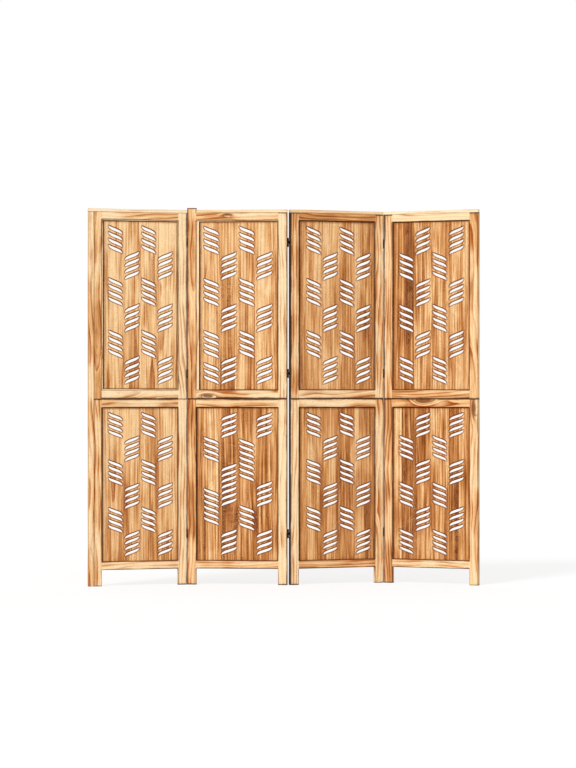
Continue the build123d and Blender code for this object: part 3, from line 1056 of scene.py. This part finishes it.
def dressHinges(joint, side):
    # the three hinge halves on one edge of a panel, with the screws in their plates
    number = joint if side == "right" else joint + 1
    gap, inFront = hinges["joints"][joint - 1]
    name = f"panel_{number}_{side}_hinge_leaves"
    low, high = localBox(f"panel_{number}_lower_{side}_stile", number)
    into, back = (-1 if side == "right" else 1), (1 if inFront else -1)
    pinX = high.x + gap / 2 if side == "right" else low.x - gap / 2
    pinY = low.y - hinges["standOff"] if inFront else high.y + hinges["standOff"]
    seat = into * (gap / 2 + hinges["screwDepth"] - hinges["screwProud"])
    single = makeHinge(side, gap, into, back)
    whole = bmesh.new()
    spots = []
    for height in hinges["heights"]:
        place = Matrix.Translation((pinX, pinY, height - hinges["length"] / 2))
        copy = single.copy()
        copy.transform(place)
        whole.from_mesh(copy)
        bpy.data.meshes.remove(copy)
        spots += [tuple(place @ Vector((seat, back * depth * mm, up * mm))) for depth, up in hinges["screws"]]
    bpy.data.meshes.remove(single)
    mesh = meshFrom(whole, name + "_steel")
    mesh.shade_smooth()
    mesh.set_sharp_from_angle(angle=math.radians(hinges["sharpFrom"]))
    placePiece(name + "_steel", mesh, number, steel, [name])
    base = pointMesh(name + "_points", spots)
    giveVectors(base, "aim", [(-into, 0, 0)] * len(spots))
    heads = grown(f"panel_{number}_{side}_screws", screwTree, base, {
        "Head radius": hinges["screwRadius"], "Head depth": hinges["screwDepth"],
        "Cross width": hinges["crossWidth"], "Cross reach": hinges["crossReach"], "Metal": steel})
    placePiece(f"panel_{number}_{side}_screws", heads, number, None)


for joint in (1, 2, 3):
    for side in ("right", "left"):
        dressHinges(joint, side)
print("hinges hung")


# the hidden slips keep their shape and only get their wood
for number in panels:
    slips = frame["nodes"][f"panel_{number}_storey_slips"]
    slips.data.materials.clear()
    slips.data.materials.append(slipWood)


studio = {
    "cameraX": 0.0174, "cameraDistance": 12.0, "cameraHeight": 0.9,
    "sensor": 36, "lens": 165.14, "lift": 2.25 / 576,  # the lift is a share of the render's width
    "farthest": 200,
    "worldStrength": 0.75,
    "keyStrength": 1.6, "keyAzimuth": 33, "keyElevation": 42, "keySpread": 14,  # degrees
    "floorSize": 60, "floorGrey": 0.95,
    "floorWhite": 0.74,  # share of the floor that camera rays see as plain white
}

camera = addObject("Camera", bpy.data.cameras.new("Camera"))
camera.location = (studio["cameraX"], -studio["cameraDistance"], studio["cameraHeight"])
camera.rotation_euler = (math.pi / 2, 0, 0)
camera.data.sensor_fit = "HORIZONTAL"
camera.data.sensor_width = studio["sensor"]
camera.data.lens = studio["lens"]
camera.data.shift_y = studio["lift"]
camera.data.clip_end = studio["farthest"]
bpy.context.scene.camera = camera

key = addObject("Key", bpy.data.lights.new("Key", "SUN"))
key.data.energy = studio["keyStrength"]
key.data.angle = math.radians(studio["keySpread"])
key.rotation_euler = (math.radians(90 - studio["keyElevation"]), 0, -math.radians(studio["keyAzimuth"]))

world = bpy.data.worlds.new("Studio")
world.use_nodes = True
bpy.context.scene.world = world
sky = Tree(world.node_tree)
world.node_tree.nodes.clear()


def seenDirectly(tree):
    # 1 for rays from the camera, in gloss and through glass
    ray = tree.add("ShaderNodeLightPath", None, None, "Is Camera Ray")
    return ray.most(ray.other("Is Glossy Ray")).most(ray.other("Is Transmission Ray"))


strength = seenDirectly(sky) * (1 - studio["worldStrength"]) + studio["worldStrength"]
sky.add("ShaderNodeOutputWorld", None, {"Surface": sky.add("ShaderNodeBackground", None, {
    "Color": (1, 1, 1, 1), "Strength": strength})})

floorMesh = bpy.data.meshes.new("Floor")
half = studio["floorSize"] / 2
corners = [(-half, -half, 0), (half, -half, 0), (half, half, 0), (-half, half, 0)]
floorMesh.from_pydata(corners, [], [(0, 1, 2, 3)])
floor = addObject("Floor", floorMesh)
lino = Shader("Studio floor")
matt = lino.add("ShaderNodeBsdfDiffuse", None, {"Color": (*[studio["floorGrey"]] * 3, 1)})
bright = lino.add("ShaderNodeEmission", None, {"Color": (1, 1, 1, 1), "Strength": 1.0})
share = seenDirectly(lino) * studio["floorWhite"]
floorMesh.materials.append(lino.finish(lino.add("ShaderNodeMixShader", None, {0: share, 1: matt, 2: bright})))

bpy.context.scene.view_settings.view_transform = "Standard"
print("studio lit")
